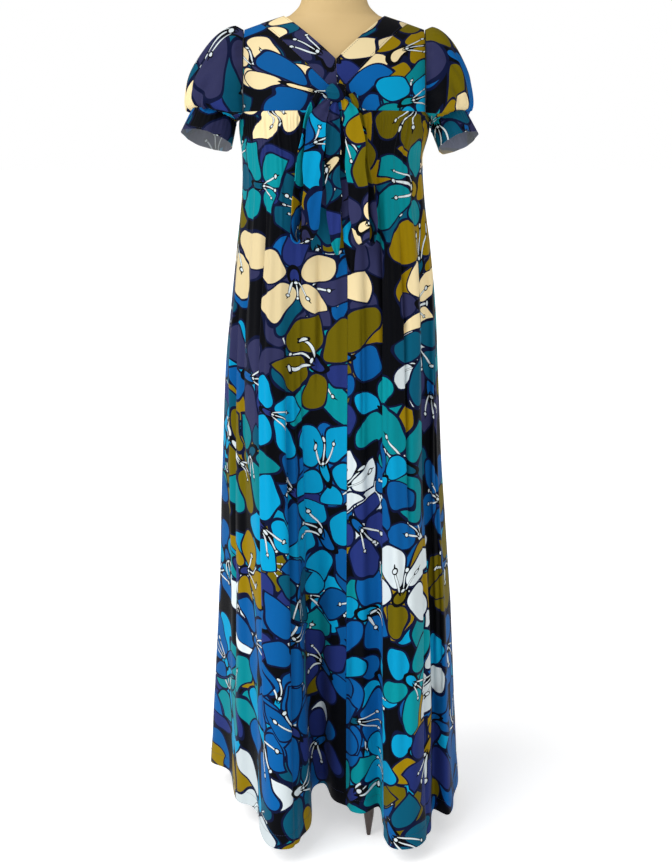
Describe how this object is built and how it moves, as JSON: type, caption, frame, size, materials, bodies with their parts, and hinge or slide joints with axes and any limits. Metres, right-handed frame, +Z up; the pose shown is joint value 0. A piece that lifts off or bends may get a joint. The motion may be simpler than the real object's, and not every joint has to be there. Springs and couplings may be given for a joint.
{
  "type": "maxi dress on a dress form",
  "caption": "Floor-length dress with a V neck, short puff sleeves and a hanging tie bow at the front, worn by a limbless dress form on a tripod stand.",
  "frame": {"origin": "on the floor under the middle of the outline, at the height of the stand's foot ends", "axes": "+Z up the dress from hem to neck, -Y towards the front of the dress, +X to the viewer's right when the front is looked at"},
  "size_m": [0.5183, 0.4932, 1.524],
  "materials": {
    "printed_cotton": "soft sheen, printed on one side, paler wrong side",
    "form_cover": "smooth matt knit cover",
    "dark_wood": "glossy varnish"
  },
  "bodies": {
    "root": {"skirt_front_right": "printed_cotton", "skirt_back": "printed_cotton", "skirt_front_left": "printed_cotton", "yoke_front_left": "printed_cotton", "yoke_front_right": "printed_cotton", "yoke_back": "printed_cotton", "neckband_left": "printed_cotton", "neckband_right": "printed_cotton", "neckband_back": "printed_cotton", "sleeve_left": "printed_cotton", "sleeve_right": "printed_cotton", "cuff_left": "printed_cotton", "cuff_right": "printed_cotton", "tie_knot": "printed_cotton", "tie_loop_left": "printed_cotton", "tie_loop_right": "printed_cotton", "tie_tail_left": "printed_cotton", "tie_tail_right": "printed_cotton", "form_torso": "form_cover", "stand_pole": "dark_wood", "stand_hub": "dark_wood", "stand_leg_1": "dark_wood", "stand_leg_2": "dark_wood", "stand_leg_3": "dark_wood"}
  },
  "joints": []
}
